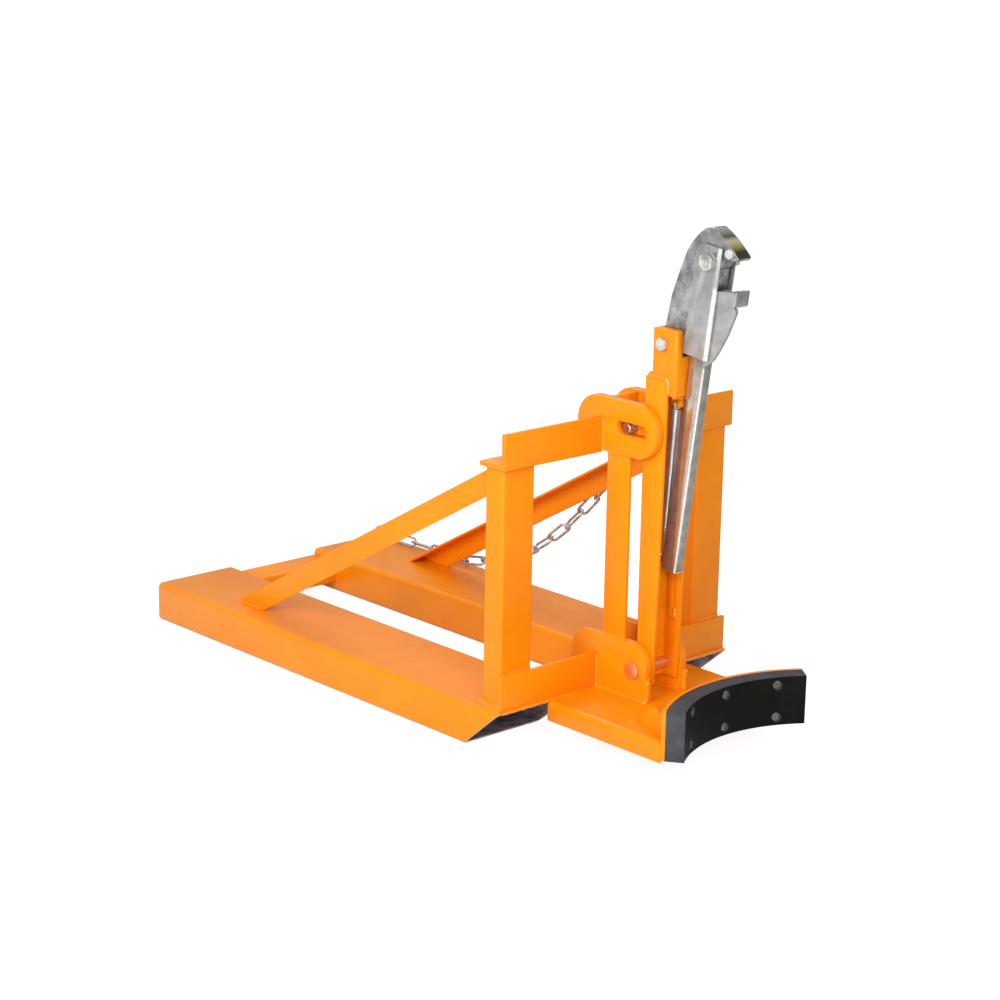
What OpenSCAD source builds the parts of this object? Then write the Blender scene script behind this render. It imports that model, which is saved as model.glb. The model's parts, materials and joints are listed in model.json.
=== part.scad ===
// Forklift drum clamp: a welded frame with two fork pockets, a tilting mast,
// and a beak and jaw that close on the rim of a steel drum.
// All sizes are millimetres. X is across the forks, Y points to the truck, Z is up.
// Sizes along Y are first given from the front face of the posts, and the whole
// part is then moved so that it stands centred on its origin.

/* [Fork pockets] */
// Distance between the outer faces of the two pockets
pockets_outer_w = 636; // [560:1:720]
// Width of one pocket
pocket_w = 204; // [170:1:220]
// Height of a pocket
pocket_h = 85; // [75:1:100]
// Wall of a pocket
pocket_wall = 6; // [4:0.5:8]
// Outer bend radius of a pocket
pocket_bend_r = 12; // [9:1:16]
// Rear end of the pockets, behind the posts
pocket_rear = 1088; // [950:1:1250]
// Front end of the pocket floor, behind the posts
pocket_floor_front = 84; // [75:1:120]
// How far the pocket roof reaches ahead of the posts
pocket_roof_front = 15; // [11:1:30]

/* [Frame tubes and angles] */
// Width of a post and length of the rear cross tube's section
tube_w = 80; // [70:1:90]
// Depth of a post and height of the cross tube's section
tube_d = 50; // [45:1:56]
// Wall of the posts and of the cross tube
tube_wall = 4; // [3:0.5:6]
// Corner radius of the posts and of the cross tube
tube_r = 6; // [5:0.5:9]
// How far a post's outer face lies inside its pocket's
post_inset = 18; // [12:1:30]
// Height of the posts
post_h = 458; // [400:1:540]
// Leg of the cross angles
angle_leg = 70; // [66:1:80]
// Thickness of the cross angles
angle_t = 10; // [8:0.5:11]
// How far an angle's end stands past its post
angle_past = 6; // [3:1:12]
// Height of the cross tube's underside
cross_z = 22; // [15:1:30]

/* [Braces] */
// Leg of the brace angles
brace_leg = 45; // [38:1:52]
// Thickness of the brace angles
brace_t = 5; // [4:0.5:7]
// How far a brace's outer face lies inside its post's
brace_inset = 39; // [25:1:50]
// Rear end of a brace's foot, behind the posts
brace_foot = 875; // [780:1:950]

/* [Mast bracket] */
// Free gap between the cheeks
cheek_gap = 75; // [73.5:0.5:80]
// Thickness of the cheeks
cheek_t = 18; // [14:1:22]
// Front of the upper cheeks, ahead of the posts
cheek_front = 151; // [145:1:165]
// Front of the lower cheeks, ahead of the posts
lower_cheek_front = 143; // [136:1:155]
// Rear end of the cheeks, behind the posts' front face
cheek_rear = 60; // [50:1:75]
// Height of a lower cheek
lower_cheek_h = 110; // [100:1:125]
// Corner radius of the lower cheeks
lower_cheek_r = 45; // [35:1:50]
// Height of an upper cheek
upper_cheek_h = 105; // [95:1:115]
// Length of the slot in an upper cheek
slot_len = 80; // [70:1:90]
// Height of the slot
slot_h = 25; // [24:0.5:28]
// Middle of the slot, ahead of the posts
slot_mid = 84; // [80:1:88]
// Width of a tie bar
tie_w = 58; // [50:1:66]
// Thickness of a tie bar
tie_t = 8; // [6:1:10]
// Front edge of the tie bars, ahead of the posts
tie_front = 78; // [74:1:84]

/* [Saddle and pad] */
// Width of the saddle
saddle_w = 378; // [350:1:382]
// Sheet thickness of the saddle
saddle_t = 8; // [6:1:10]
// Depth of the saddle's side flanges
saddle_flange = 39; // [32:1:44]
// Drum radius that the pad fits
drum_r = 286; // [270:1:300]
// Deepest point of the pad's hollow, ahead of the posts
pad_front = 300; // [280:1:330]
// Thickness of the rubber
pad_t = 36; // [25:1:40]
// Height of the pad
pad_h = 96; // [80:1:110]
// Height of the pad's lower edge above the floor
pad_z = 52; // [46:1:54]
// Thickness of the steel plate behind the pad
plate_t = 8; // [6:1:10]
// Half the angle that the pad and its plate span about the drum's axis
pad_angle = 35.5; // [35:0.5:42]
// Shank diameter of the pad bolts
pad_bolt_d = 8; // [6:1:9]
// Angle between the columns of pad bolts
pad_bolt_step = 24; // [18:1:28]

/* [Mast] */
// Outer width of the mast channel
mast_w = 72; // [70:0.5:73]
// Depth of the mast channel at its upper end
mast_d = 55; // [50:1:58]
// Depth of the mast channel at its lower end
mast_d_low = 43; // [40:1:50]
// Wall of the mast channel
mast_wall = 6; // [5:0.5:7]
// Rear face of the mast, ahead of the posts
mast_back = 99; // [98:0.5:102]
// Lower end of the mast
mast_bottom = 118; // [110:1:124]
// Upper end of the mast channel
mast_top = 714; // [700:1:730]
// Thickness of the liner on the mast's web
liner_t = 6; // [4:0.5:7]
// Lower end of the liner
liner_bottom = 256; // [230:1:280]
// Diameter of the mast's pivot pin
pivot_d = 24; // [20:1:28]
// Height of the mast's pivot
pivot_z = 142; // [136:1:148]
// How far the mast's pivot lies ahead of the posts
pivot_y = 108; // [106:1:116]
// Diameter of the stop pin
stop_d = 20; // [16:1:21]
// Middle of the stop pin, ahead of the posts
stop_y = 67; // [64:1:74]

/* [Head, beak and jaw] */
// Width of the head tube
head_w = 70; // [66:0.5:72]
// Depth of the head tube
head_d = 63; // [59:0.5:63.5]
// Wall of the head tube
head_wall = 6; // [5:0.5:7]
// Lower end of the head tube
head_bottom = 684; // [676:1:690]
// Upper end of the head tube
head_top = 808; // [805:1:812]
// How far the beak's pivot lies ahead of the head tube's rear
beak_ahead = 30; // [28:0.5:33]
// Height of the beak's pivot
beak_z = 780; // [774:1:784]
// Thickness of the beak
beak_t = 34; // [28:1:35]
// Diameter of the beak's bolt
beak_bolt_d = 16; // [14:1:18]
// Across the flats of the beak's bolt head and nut
beak_bolt_af = 24; // [22:1:27]
// Diameter of the jaw's bolt
jaw_bolt_d = 20; // [16:1:22]
// Across the flats of the jaw's bolt head and nut
jaw_bolt_af = 30; // [27:1:32]
// Outer width of the jaw channel
jaw_w = 50; // [48:1:54]
// Depth of the jaw channel
jaw_d = 58; // [54:1:62]
// Wall of the jaw channel
jaw_wall = 5; // [4:0.5:5]
// How far the jaw channel reaches below its bolt
jaw_below = 184; // [170:1:190]
// How far the jaw channel reaches above its bolt
jaw_above = 28; // [26:1:34]
// Width of the lever bar
lever_w = 22; // [16:1:26]
// Depth of the lever bar
lever_d = 38; // [30:1:40]
// Lower end of the lever, below the jaw's bolt
lever_below = 613; // [600:1:630]
// How far the lever's lower end hangs back from the jaw's bolt
lever_hang = 82.1; // [80:0.1:84]

/* [Spring] */
// Outer diameter of the spring
spring_d = 20; // [16:1:21]
// Wire of the spring
spring_wire = 4; // [3:0.5:4]
// Turns of the spring
spring_turns = 53; // [44:1:56]

/* [Chain] */
// Wire of the chain
chain_wire = 6; // [5:0.5:6.5]
// Inner length of a link
link_pitch = 60; // [56:0.5:64]
// Outer width of a link
link_w = 26; // [24:0.5:28]
// How far the chain hangs inside a post's outer face
chain_inset = 8; // [4:1:14]

/* [Hidden] */
$fn = 64;

paint = "darkorange";
zinc = [0.70, 0.70, 0.69];
dark_rubber = [0.14, 0.14, 0.15];

// Small gaps: a running fit on a diameter, a washer's end play, a loose hole
run_gap = 0.05;
end_play = 0.1;
weld_skip = 1;

pocket_outer = pockets_outer_w / 2;
pocket_inner = pocket_outer - pocket_w;
post_outer = pocket_outer - post_inset;
brace_outer = post_outer - brace_inset;
chain_x = post_outer - chain_inset;
cheek_in = cheek_gap / 2;
cheek_out = cheek_in + cheek_t;
cheek_len = cheek_front + cheek_rear;
lower_cheek_len = lower_cheek_front + cheek_rear;

lower_angle_z = pocket_h;
post_z = lower_angle_z + angle_t;
upper_angle_z = post_z + post_h;
angle_root_r = 8;
angle_toe_r = 4;
upper_cheek_z = upper_angle_z + 3;
slot_z = upper_cheek_z + upper_cheek_h / 2;
lower_cheek_top = pocket_h + lower_cheek_h;

drum_y = -(pad_front + drum_r);
pad_back_r = drum_r + pad_t;
plate_back_r = pad_back_r + plate_t;
saddle_half = saddle_w / 2;
pad_mid_z = pad_z + pad_h / 2;
pad_bolt_rise = pad_h / 3;
head_sink = 5;
front_end = drum_y + drum_r * cos(pad_angle);
middle_y = (pocket_rear + front_end) / 2;

brace_slope = atan2(upper_angle_z - pocket_h, brace_foot - tube_d);

mast_half = mast_w / 2;
mast_back_y = -mast_back;
liner_face_y = mast_back_y - mast_wall - liner_t;
head_rear_y = liner_face_y;
head_front_y = head_rear_y - head_d;
head_half = head_w / 2;
beak_y = head_rear_y - beak_ahead;
beak_half = beak_t / 2;
beak_bolt_r = beak_bolt_d / 2;
jaw_bolt_r = jaw_bolt_d / 2;
jaw_lean = asin(lever_hang / lever_below);

// The jaw's bolt, from the beak's bolt
jaw_dy = -100;
jaw_dz = 166;
jaw_y = beak_y + jaw_dy;
jaw_z = beak_z + jaw_dz;
jaw_half = jaw_w / 2;
jaw_in = jaw_half - jaw_wall;
jaw_front = -21;
jaw_back = jaw_front + jaw_d;
web_top = -52;
rib_end = -9;
jaw_bend = jaw_wall + 3;
lever_front = -8;
lever_back = lever_front + lever_d;
lever_top = -130;
foot_t = 6;
foot_z = 40 - jaw_below;

// Everything stands centred on the origin
module stand() {
    translate([0, -middle_y, 0]) children();
}

// A piece drawn at positive X, or its mirror image
module side_of(s) {
    stand() scale_x(s) children();
}

module scale_x(s) {
    if (s < 0) mirror([1, 0, 0]) children();
    else children();
}

// Turns a profile drawn as (y, z) into a slab from x0 to x1
module slab(x0, x1) {
    translate([x0, 0, 0]) rotate([90, 0, 90]) linear_extrude(height = x1 - x0) children();
}

// Turns a profile drawn as (x, z) into a bar from y0 to y1
module bar(y0, y1) {
    translate([0, y1, 0]) rotate([90, 0, 0]) linear_extrude(height = y1 - y0) children();
}

// A pin along X
module cross_pin(r, x0, x1) {
    translate([x0, 0, 0]) rotate([0, 90, 0]) cylinder(r = r, h = x1 - x0);
}

// A hexagon bolt head or nut along X, from x0 to x1
module hex(af, x0, x1) {
    translate([x0, 0, 0]) rotate([0, 90, 0]) cylinder(d = af / cos(30), h = x1 - x0, $fn = 6);
}

module rounded(w, h, r) {
    translate([r, 0]) square([w - 2 * r, h]);
    translate([0, r]) square([w, h - 2 * r]);
    for (x = [r, w - r], y = [r, h - r]) translate([x, y]) circle(r = r);
}

module tube_section(w, h, t, r) {
    difference() {
        rounded(w, h, r);
        translate([t, t]) rounded(w - 2 * t, h - 2 * t, max(r - t, 1));
    }
}

// Rolled angle with its corner at the origin, legs along +x and +y
module angle_section(leg, t, root_r, toe_r) {
    difference() {
        union() {
            square([leg, t]);
            square([t, leg]);
            translate([t, t]) square([root_r, root_r]);
        }
        translate([t + root_r, t + root_r]) circle(r = root_r);
        translate([leg - toe_r, t - toe_r]) toe_corner(toe_r);
        translate([t - toe_r, leg - toe_r]) toe_corner(toe_r);
    }
}

module toe_corner(r) {
    difference() {
        square([r + weld_skip, r + weld_skip]);
        circle(r = r);
    }
}

// Fork pocket: a bent tube whose front is cut on a slant
module pocket(s) {
    slope = (pocket_floor_front + pocket_roof_front) / pocket_h;
    cut_low = -5;
    cut_high = pocket_h + 5;
    far = -pocket_roof_front - 60;
    side_of(s) difference() {
        translate([pocket_inner, 0, 0]) bar(-pocket_roof_front, pocket_rear)
            tube_section(pocket_w, pocket_h, pocket_wall, pocket_bend_r);
        slab(pocket_inner - weld_skip, pocket_outer + weld_skip) polygon([
            [far, cut_low], [pocket_floor_front - slope * cut_low, cut_low],
            [pocket_floor_front - slope * cut_high, cut_high], [far, cut_high]]);
    }
}

module pocket_left() { color(paint) pocket(-1); }
module pocket_right() { color(paint) pocket(1); }

module rear_cross_tube() {
    color(paint) stand() translate([0, pocket_rear - tube_w, cross_z])
        slab(-pocket_inner, pocket_inner) tube_section(tube_w, tube_d, tube_wall, tube_r);
}

module post(s) {
    side_of(s) translate([post_outer - tube_w, 0, post_z]) linear_extrude(height = post_h)
        tube_section(tube_w, tube_d, tube_wall, tube_r);
}

module post_left() { color(paint) post(-1); }
module post_right() { color(paint) post(1); }

// Cross angle: upright leg in front of the posts, flat leg under them
module cross_angle(s, z) {
    side_of(s) translate([0, -angle_t, z])
        slab(cheek_out, post_outer + angle_past)
        angle_section(angle_leg, angle_t, angle_root_r, angle_toe_r);
}

// The lower angle gives room for the post's foot behind its root fillet
module lower_angle(s) {
    difference() {
        cross_angle(s, lower_angle_z);
        side_of(s) translate([post_outer - tube_w, 0, post_z])
            cube([tube_w, tube_d, angle_leg]);
    }
}

module lower_angle_left() { color(paint) lower_angle(-1); }
module lower_angle_right() { color(paint) lower_angle(1); }
module upper_angle_left() { color(paint) cross_angle(-1, upper_angle_z); }
module upper_angle_right() { color(paint) cross_angle(1, upper_angle_z); }

// Brace: an angle that runs from the pocket's roof up to the rear of the post
module brace(s) {
    side_of(s) intersection() {
        translate([0, brace_foot, pocket_h]) rotate([brace_slope, 0, 180])
            translate([-brace_outer, 0, 0]) mirror([0, 0, 1]) brace_bar();
        translate([0, tube_d, pocket_h]) cube([pocket_outer, brace_foot - tube_d, post_h]);
    }
}

// The brace's bar lies along +Y, its outer web at x = 0 and its flat leg on top
module brace_bar() {
    reach = brace_foot + post_h;
    bar(-reach / 4, reach) angle_section(brace_leg, brace_t, brace_t, brace_t / 2);
}

module brace_left() { color(paint) brace(-1); }
module brace_right() { color(paint) brace(1); }

module lower_cheek(s) {
    side_of(s) slab(cheek_in, cheek_out) difference() {
        translate([-lower_cheek_front, pocket_h]) union() {
            square([lower_cheek_len, lower_cheek_h - lower_cheek_r]);
            translate([lower_cheek_r, 0])
                square([lower_cheek_len - 2 * lower_cheek_r, lower_cheek_h]);
            for (y = [lower_cheek_r, lower_cheek_len - lower_cheek_r])
                translate([y, lower_cheek_h - lower_cheek_r]) circle(r = lower_cheek_r);
        }
        translate([-pivot_y, pivot_z]) circle(d = pivot_d);
    }
}

module lower_cheek_left() { color(paint) lower_cheek(-1); }
module lower_cheek_right() { color(paint) lower_cheek(1); }

module slot(len, h) {
    translate([-(len - h) / 2, -h / 2]) square([len - h, h]);
    for (y = [-1, 1]) translate([y * (len - h) / 2, 0]) circle(d = h);
}

module upper_cheek(s) {
    side_of(s) slab(cheek_in, cheek_out) difference() {
        translate([(cheek_rear - cheek_front) / 2, slot_z]) slot(cheek_len, upper_cheek_h);
        translate([-slot_mid, slot_z]) slot(slot_len, slot_h);
    }
}

module upper_cheek_left() { color(paint) upper_cheek(-1); }
module upper_cheek_right() { color(paint) upper_cheek(1); }

module upper_web() {
    web_h = upper_cheek_h - 4;
    color(paint) stand() translate([-cheek_in, -angle_t, upper_cheek_z])
        cube([cheek_gap, angle_t, web_h]);
}

module tie_bar(s) {
    inset = 4;
    side_of(s) translate([cheek_out - inset - tie_t, -tie_front, lower_cheek_top])
        cube([tie_t, tie_w, upper_cheek_z - lower_cheek_top]);
}

module tie_bar_left() { color(paint) tie_bar(-1); }
module tie_bar_right() { color(paint) tie_bar(1); }

// Saddle: a folded channel that carries the bracket and the pad, with a tongue
// that runs back between the pockets
module saddle() {
    floor_z = pocket_h - saddle_flange;
    bend = saddle_t + 4;
    color(paint) stand() difference() {
        union() {
            bar(drum_y, -pocket_roof_front) saddle_section(floor_z, bend);
            translate([-pocket_inner, -pocket_roof_front, pocket_h - saddle_t])
                cube([2 * pocket_inner, pocket_roof_front + cheek_rear, saddle_t]);
        }
        translate([0, drum_y, 0]) cylinder(r = plate_back_r, h = 2 * pocket_h, $fn = 180);
    }
}

module saddle_section(floor_z, bend) {
    difference() {
        saddle_outline(saddle_half, pocket_h, floor_z, bend);
        saddle_outline(saddle_half - saddle_t, pocket_h - saddle_t, floor_z - weld_skip, bend - saddle_t);
    }
}

module saddle_outline(half, top, low, r) {
    translate([-half, low]) square([2 * half, top - r - low]);
    translate([-half + r, low]) square([2 * (half - r), top - low]);
    for (s = [-1, 1]) translate([s * (half - r), top - r]) circle(r = r);
}

// Two gussets that hold the front plate upright on the saddle
module saddle_gussets() {
    foot_x = saddle_half - 58;
    foot_y = 105 - pad_front;
    spread = 16;
    gusset_h = pad_z + pad_h - pocket_h - 18;
    gusset_run = foot_x * 0.84;
    color(paint) for (s = [-1, 1]) side_of(s) difference() {
        translate([foot_x, foot_y, pocket_h]) rotate([0, 0, spread])
            slab(-saddle_t / 2, saddle_t / 2) polygon([
                [0, 0], [-gusset_run / 2, gusset_h - 3], [-gusset_run * 0.6, gusset_h],
                [-gusset_run, gusset_h - 5], [-gusset_run, 0]]);
        translate([0, drum_y, 0]) cylinder(r = plate_back_r, h = 4 * pocket_h, $fn = 180);
    }
}

// An upright band between two radii about the drum's axis
module drum_band(r_in, r_out) {
    translate([0, drum_y, pad_z]) rotate([0, 0, 90 - pad_angle])
        rotate_extrude(angle = 2 * pad_angle, $fn = 180)
        translate([r_in, 0]) square([r_out - r_in, pad_h]);
}

// Places a piece at each pad bolt: along its local X, which points at the drum
module at_pad_bolts() {
    stand() for (a = [-1, 0, 1], z = [-1, 1])
        translate([0, drum_y, pad_mid_z + z * pad_bolt_rise])
        rotate([0, 0, 90 + a * pad_bolt_step]) rotate([0, 0, 0]) children();
}

module front_plate() {
    color(paint) difference() {
        stand() drum_band(pad_back_r, plate_back_r);
        at_pad_bolts() cross_pin(pad_bolt_d / 2, drum_r, plate_back_r + pad_t);
    }
}

module rubber_pad() {
    color(dark_rubber) difference() {
        stand() drum_band(drum_r, pad_back_r);
        at_pad_bolts() {
            cross_pin(pad_bolt_d / 2, drum_r - pad_t, plate_back_r);
            cross_pin(pad_bolt_d + 2, drum_r - pad_t, drum_r + head_sink);
        }
    }
}

// Flat headed bolts, sunk in the rubber, one solid each
module pad_bolts() {
    head_h = 3;
    color(zinc) at_pad_bolts() {
        cross_pin(pad_bolt_d / 2, drum_r + head_sink - weld_skip, plate_back_r + pad_bolt_d + 3);
        cross_pin(pad_bolt_d + 0.5, drum_r + head_sink - head_h, drum_r + head_sink);
    }
}

module pad_nuts() {
    nut_af = pad_bolt_d * 1.625;
    color(zinc) at_pad_bolts() difference() {
        hex(nut_af, plate_back_r, plate_back_r + pad_bolt_d * 0.8);
        cross_pin(pad_bolt_d / 2, plate_back_r - weld_skip, plate_back_r + pad_bolt_d);
    }
}

// Pivot pin of the mast, with a collar welded on each end
module mast_pivot_pin() {
    collar_t = 6;
    color(zinc) stand() translate([0, -pivot_y, pivot_z]) {
        cross_pin(pivot_d / 2, -cheek_out - collar_t, cheek_out + collar_t);
        for (x = [-cheek_out - collar_t, cheek_out])
            cross_pin(pivot_d / 2 + 5, x, x + collar_t);
    }
}

module ring(r_in, r_out, x0, x1) {
    difference() {
        cross_pin(r_out, x0, x1);
        cross_pin(r_in, x0 - weld_skip, x1 + weld_skip);
    }
}

module pivot_washers() {
    color(zinc) for (s = [-1, 1]) side_of(s) translate([0, -pivot_y, pivot_z])
        ring(pivot_d / 2, pivot_d / 2 + 7, mast_half + end_play, cheek_in);
}

// Chain route, seen from the side: the lean of each link, in degrees
lug_y = 1062;
lug_z = pocket_h + link_w / 2 + 1;
link_lean = [0, 0, 0, 0, 0, 10, 16, 22, 28, 34, 39, 43, 45, 45, 45, 45, 45, 45, 45];
link_count = len(link_lean);
function run_y(i) = i <= 0 ? 0 : run_y(i - 1) - link_pitch * cos(link_lean[i - 1]);
function run_z(i) = i <= 0 ? 0 : run_z(i - 1) + link_pitch * sin(link_lean[i - 1]);
function link_roll(i) = 90 * i + min(15 * i, 45) - max(15 * (i - link_count + 4), 0);
chain_top_y = lug_y + run_y(link_count);
chain_top_z = lug_z + run_z(link_count);

// One link, its middle at the origin and its length along Y
module link() {
    gap = 0.4;
    turn_r = (link_w - chain_wire) / 2;
    half = (link_pitch + gap) / 2 + chain_wire / 2 - turn_r;
    for (s = [-1, 1]) {
        translate([s * turn_r, -half, 0]) rotate([-90, 0, 0])
            cylinder(d = chain_wire, h = 2 * half, $fn = 24);
        translate([0, s * half, 0]) rotate([0, 0, s < 0 ? 180 : 0])
            rotate_extrude(angle = 180, $fn = 48) translate([turn_r, 0]) circle(d = chain_wire, $fn = 24);
    }
}

module safety_chain() {
    color(zinc) stand() for (i = [0:link_count - 1])
        translate([chain_x, lug_y + (run_y(i) + run_y(i + 1)) / 2, lug_z + (run_z(i) + run_z(i + 1)) / 2])
        rotate([-link_lean[i], 0, 0]) rotate([0, link_roll(i), 0]) link();
}

// The chain's lugs: one on the pocket's roof, one on the upper angle
module chain_lugs() {
    lug_t = 8;
    hole_d = chain_wire * 2;
    ear_r = hole_d / 2 + 8;
    color(paint) stand() translate([chain_x, 0, 0]) {
        slab(-lug_t / 2, lug_t / 2) difference() {
            union() {
                translate([lug_y + 3, lug_z]) circle(r = ear_r);
                translate([lug_y + 3 - ear_r, pocket_h]) square([2 * ear_r, lug_z - pocket_h]);
            }
            translate([lug_y + 3, lug_z]) circle(d = hole_d);
        }
        slab(-lug_t / 2, lug_t / 2) difference() {
            union() {
                translate([chain_top_y - 3, chain_top_z]) circle(r = ear_r);
                translate([angle_leg - angle_t - 30, upper_angle_z + angle_t])
                    square([30, chain_top_z + ear_r - upper_angle_z - angle_t]);
                translate([angle_leg - angle_t - 1, chain_top_z - ear_r])
                    square([chain_top_y - 2 - angle_leg + angle_t, 2 * ear_r]);
            }
            translate([chain_top_y - 3, chain_top_z]) circle(d = hole_d);
        }
    }
}

// Side view of the mast, whose walls grow deeper towards the head
module mast_side() {
    polygon([[mast_back_y, mast_bottom], [mast_back_y, mast_top],
             [mast_back_y - mast_d, mast_top], [mast_back_y - mast_d_low, mast_bottom]]);
}

module mast_channel() {
    color(paint) stand() difference() {
        slab(-mast_half, mast_half) mast_side();
        translate([-mast_half + mast_wall, mast_back_y - mast_d - weld_skip, mast_bottom - weld_skip])
            cube([mast_w - 2 * mast_wall, mast_d - mast_wall + weld_skip,
                  mast_top - mast_bottom + 2 * weld_skip]);
        translate([0, -pivot_y, pivot_z])
            cross_pin(pivot_d / 2 + run_gap, -mast_w, mast_w);
    }
}

module mast_liner() {
    liner_w = mast_w - 2 * mast_wall;
    color(paint) stand() translate([-liner_w / 2, liner_face_y, liner_bottom])
        cube([liner_w, liner_t, mast_top - liner_bottom]);
}

// The stop pin rides in the slots of the upper cheeks, in a lug behind the mast
module stop_lug() {
    lug_r = stop_d / 2 + 4;
    lug_half = mast_half - mast_wall;
    color(paint) stand() slab(-lug_half, lug_half) difference() {
        union() {
            translate([-stop_y, slot_z]) circle(r = lug_r);
            translate([mast_back_y, slot_z - lug_r]) square([mast_back - stop_y, 2 * lug_r]);
        }
        translate([-stop_y, slot_z]) circle(d = stop_d);
    }
}

module stop_pin() {
    recess = 4;
    chamfer = 1.5;
    half = cheek_out - recess;
    color(zinc) stand() translate([0, -stop_y, slot_z]) {
        cross_pin(stop_d / 2, -half + chamfer, half - chamfer);
        for (s = [-1, 1]) scale_x(s) translate([half - chamfer, 0, 0]) rotate([0, 90, 0])
            cylinder(r1 = stop_d / 2, r2 = stop_d / 2 - chamfer, h = chamfer);
    }
}

// Square tube in the mast's head, closed on top, with a slot for the beak. It
// stands on the mast's walls, and its front goes down ahead of them.
module head_tube() {
    slot_half = beak_half + 1.5;
    slot_low = beak_z - beak_ahead + 8;
    slot_rear = head_rear_y - head_wall - 3;
    top_r = 7;
    color(paint) stand() difference() {
        intersection() {
            union() {
                translate([-head_half, head_front_y, head_bottom])
                    linear_extrude(height = head_top - head_bottom)
                    tube_section(head_w, head_d, head_wall, head_wall + 1);
                translate([-head_half + head_wall, head_front_y + head_wall, head_top - head_wall])
                    cube([head_w - 2 * head_wall, head_d - 2 * head_wall, head_wall]);
            }
            slab(-head_half, head_half) translate([head_front_y, 0]) rounded(head_d, head_top, top_r);
        }
        slab(-head_w, head_w) mast_side();
        translate([-slot_half, head_front_y - weld_skip, slot_low])
            cube([2 * slot_half, slot_rear - head_front_y, head_top]);
        translate([0, beak_y, beak_z]) cross_pin(beak_bolt_r, -head_w, head_w);
    }
}

// Plate inside the head tube's front that the spring hangs from
tab_y = beak_y - 6;
tab_z = head_bottom - 18;
module spring_tab() {
    tab_t = 5;
    tab_w = 34;
    below = 7.5;
    rise = 16;
    inner_y = head_front_y + head_wall;
    color(paint) stand() slab(-tab_t / 2, tab_t / 2) difference() {
        union() {
            translate([tab_y - tab_w / 2, tab_z - below])
                rounded(tab_w, head_bottom - tab_z + below + rise, 6);
            translate([inner_y, head_bottom]) square([tab_y - inner_y, rise]);
        }
        translate([tab_y, tab_z]) circle(d = 2 * spring_wire);
    }
}

module beak_bolt() {
    head_h = 10;
    color(zinc) stand() translate([0, beak_y, beak_z]) {
        cross_pin(beak_bolt_r, -head_half, head_half + 18);
        hex(beak_bolt_af, -head_half - head_h, -head_half);
        hex(beak_bolt_af, head_half, head_half + 13);
    }
}

module beak_spacers() {
    inner = head_half - head_wall;
    color(zinc) for (s = [-1, 1]) side_of(s) translate([0, beak_y, beak_z])
        ring(beak_bolt_r, beak_bolt_r + 7, beak_half + end_play, inner);
}

// Side view of the beak, as (y, z) from its own bolt
beak_rear = [[15, 28], [1, 91], [-17, 138], [-34, 177], [-48, 197], [-65, 214], [-81, 224]];
beak_crest = [[-95, 226], [-110, 218], [-127, 207], [-141, 195], [-157, 180]];
beak_under = [[-159, 176], [-154, 171], [-127, 173], [-111, 168], [-103, 113], [-64, 70], [-27, 20]];

module beak() {
    hub_r = beak_ahead - head_wall - 3;
    color(zinc) stand() translate([0, beak_y, beak_z]) difference() {
        slab(-beak_half, beak_half) union() {
            polygon(concat([[hub_r, 0]], beak_rear, beak_crest, beak_under, [[-hub_r, 0]]));
            circle(r = hub_r);
            translate([jaw_dy, jaw_dz]) circle(r = jaw_bolt_r + 8);
        }
        cross_pin(beak_bolt_r + run_gap, -beak_t, beak_t);
        translate([0, jaw_dy, jaw_dz]) cross_pin(jaw_bolt_r + run_gap, -beak_t, beak_t);
    }
}

// Small hexagon stud on the near side of the beak's nose
module nose_stud() {
    nose_y = beak_y - 142;
    nose_z = beak_z + 184;
    nose_af = 17;
    color(zinc) stand() translate([0, nose_y, nose_z]) hex(nose_af, -beak_half - 8, -beak_half);
}

// The jaw's own frame: its bolt is the origin, and its Z leans with the lever
module jaw_frame() {
    stand() translate([0, jaw_y, jaw_z]) rotate([jaw_lean, 0, 0]) children();
}

// Channel of the jaw, open behind, with its web cut away over the mouth and its
// lower end cut on a slant, so that the far wall is the shorter one
module jaw_channel() {
    bend = jaw_bend;
    top_r = 18;
    color(zinc) jaw_frame() difference() {
        intersection() {
            translate([0, 0, -jaw_below]) linear_extrude(height = jaw_below + jaw_above)
                jaw_section(bend);
            slab(-jaw_half, jaw_half) difference() {
                translate([jaw_front, -jaw_below]) square([jaw_d, jaw_below + jaw_above]);
                translate([jaw_back - top_r, jaw_above - top_r]) toe_corner(top_r);
            }
        }
        translate([-jaw_in, jaw_front - weld_skip, web_top])
            cube([2 * jaw_in, bend + weld_skip, jaw_above - web_top + weld_skip]);
        cross_pin(jaw_bolt_r, -jaw_w, jaw_w);
        bar(2 * jaw_front, 2 * jaw_back) polygon([
            [rib_end, -jaw_below], [rib_end, -jaw_below - weld_skip],
            [jaw_w, -jaw_below - weld_skip], [jaw_w, 62 - jaw_below]]);
    }
}

module jaw_section(bend) {
    difference() {
        jaw_outline(jaw_half, jaw_front, bend);
        jaw_outline(jaw_in, jaw_front + jaw_wall, bend - jaw_wall);
    }
}

module jaw_outline(half, front, r) {
    translate([-half, front + r]) square([2 * half, jaw_back + jaw_wall - front - r]);
    translate([-half + r, front]) square([2 * (half - r), r]);
    for (s = [-1, 1]) translate([s * (half - r), front + r]) circle(r = r);
}

// Outline of the jaw's rib, as (y, z) in the jaw's frame. Its foot goes under the
// channel to the lever's front.
lip_front = -66;
lip_top = web_top + 11.5;
rib_outline = [[jaw_front, web_top], [lip_front, lip_top], [lip_front, -72], [-68.5, -80], [-63, -98],
               [-55.7, -124], [-40.2, -161], [-31, -jaw_below + 5], [-21, -jaw_below - 6],
               [lever_front, -jaw_below - 19], [lever_front, -jaw_below], [jaw_front, -jaw_below]];

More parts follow.
